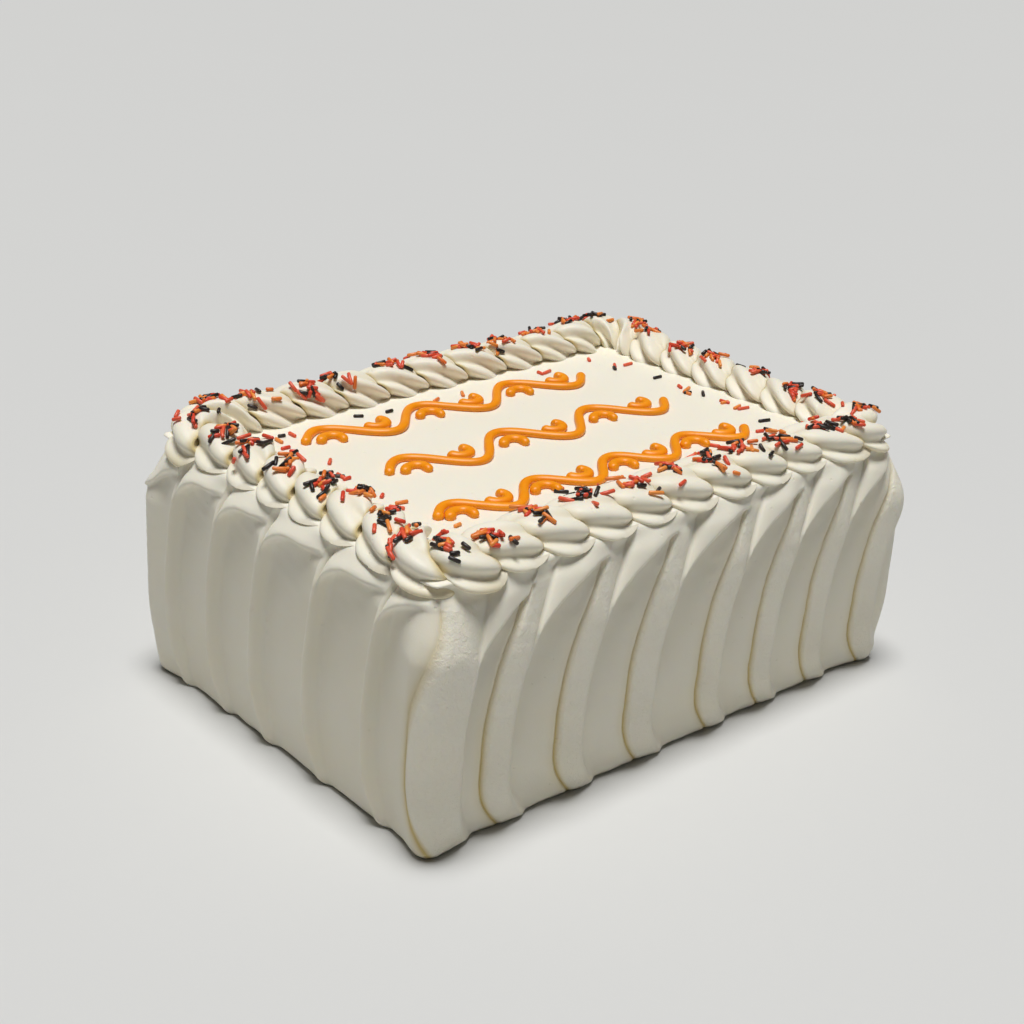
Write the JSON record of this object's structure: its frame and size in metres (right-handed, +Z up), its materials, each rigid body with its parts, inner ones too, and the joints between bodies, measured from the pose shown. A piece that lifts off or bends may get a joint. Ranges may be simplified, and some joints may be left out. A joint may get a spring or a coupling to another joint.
{
  "type": "birthday cake",
  "caption": "Rectangular layer cake with spatula-stroked buttercream sides, a piped shell border, orange piped scrollwork on top and long sprinkles.",
  "frame": {"origin": "centre of the footprint, on the surface that the cake stands on", "axes": "+X along the long side, +Z up, -Y towards the long side that faces the viewer"},
  "size_m": [0.3506, 0.247, 0.1554],
  "materials": {
    "buttercream": "whipped ivory buttercream, matte to satin; orange piped scrollwork on top",
    "piped_buttercream": "piped ivory buttercream with black, orange and red sprinkles"
  },
  "bodies": {
    "root": {"cake_body": "buttercream", "shell_01": "piped_buttercream", "shell_02": "piped_buttercream", "shell_03": "piped_buttercream", "shell_04": "piped_buttercream", "shell_05": "piped_buttercream", "shell_06": "piped_buttercream", "shell_07": "piped_buttercream", "shell_08": "piped_buttercream", "shell_09": "piped_buttercream", "shell_10": "piped_buttercream", "shell_11": "piped_buttercream", "shell_12": "piped_buttercream", "shell_13": "piped_buttercream", "shell_14": "piped_buttercream", "shell_15": "piped_buttercream", "shell_16": "piped_buttercream", "shell_17": "piped_buttercream", "shell_18": "piped_buttercream", "shell_19": "piped_buttercream", "shell_20": "piped_buttercream", "shell_21": "piped_buttercream", "shell_22": "piped_buttercream", "shell_23": "piped_buttercream", "shell_24": "piped_buttercream", "shell_25": "piped_buttercream", "shell_26": "piped_buttercream", "shell_27": "piped_buttercream", "shell_28": "piped_buttercream", "shell_29": "piped_buttercream", "shell_30": "piped_buttercream", "shell_31": "piped_buttercream", "shell_32": "piped_buttercream", "shell_33": "piped_buttercream", "shell_34": "piped_buttercream", "shell_35": "piped_buttercream", "shell_36": "piped_buttercream", "shell_37": "piped_buttercream", "shell_38": "piped_buttercream"}
  },
  "joints": []
}
